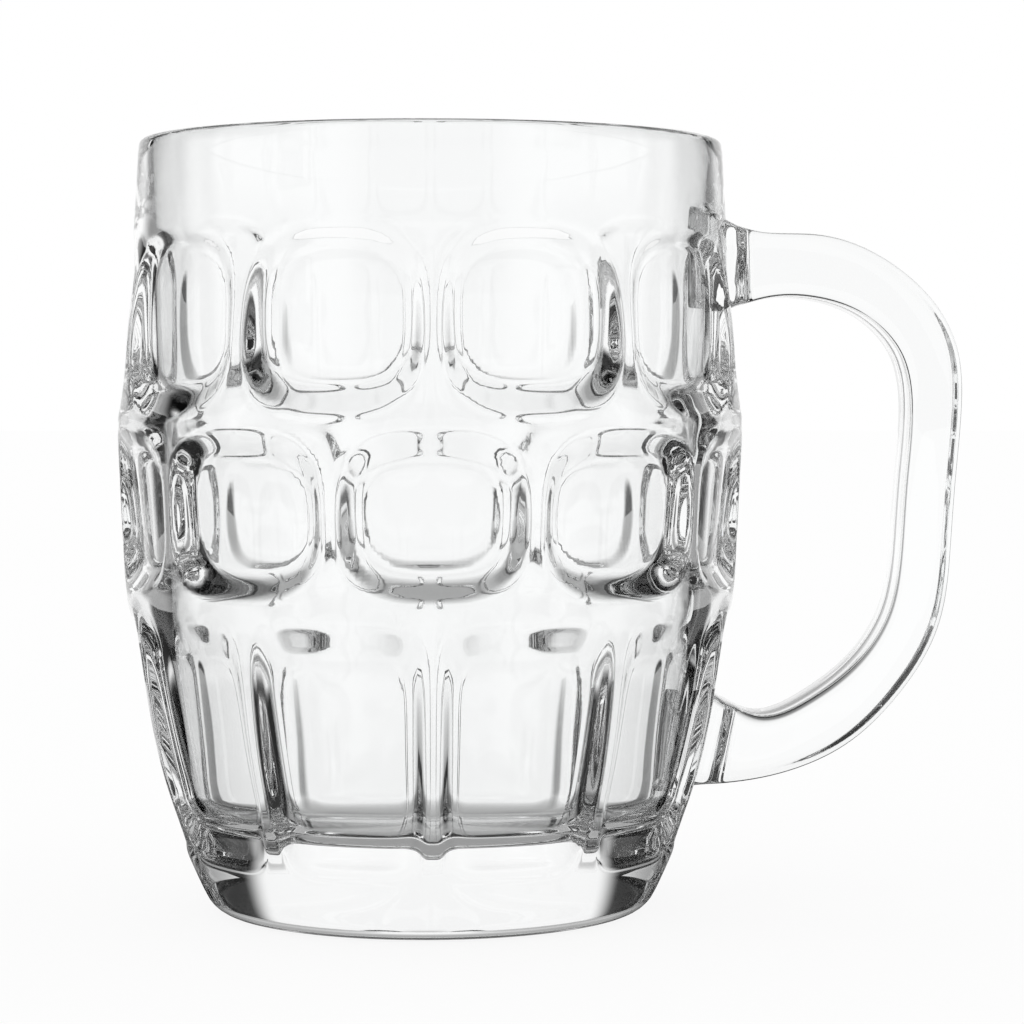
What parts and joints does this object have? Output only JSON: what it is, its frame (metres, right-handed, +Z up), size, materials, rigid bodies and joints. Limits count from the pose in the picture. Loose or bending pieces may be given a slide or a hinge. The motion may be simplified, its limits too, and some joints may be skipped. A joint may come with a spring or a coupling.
{
  "type": "dimpled glass beer mug",
  "caption": "Thick-based clear glass beer mug with staggered rows of dimples, tall flutes above a plain base band, and a fused D-shaped side handle.",
  "frame": {"origin": "on the bowl's axis at the plane of the foot ring that the mug stands on", "axes": "+Z up along the bowl's axis, +X towards the handle, -Y the side that the picture shows"},
  "size_m": [0.1325, 0.098, 0.1205],
  "materials": {
    "bowl_glass": "fire-polished clear pressed soda-lime glass",
    "handle_glass": "fire-polished clear pressed soda-lime glass"
  },
  "bodies": {
    "root": {"bowl": "bowl_glass", "handle": "handle_glass"}
  },
  "joints": []
}
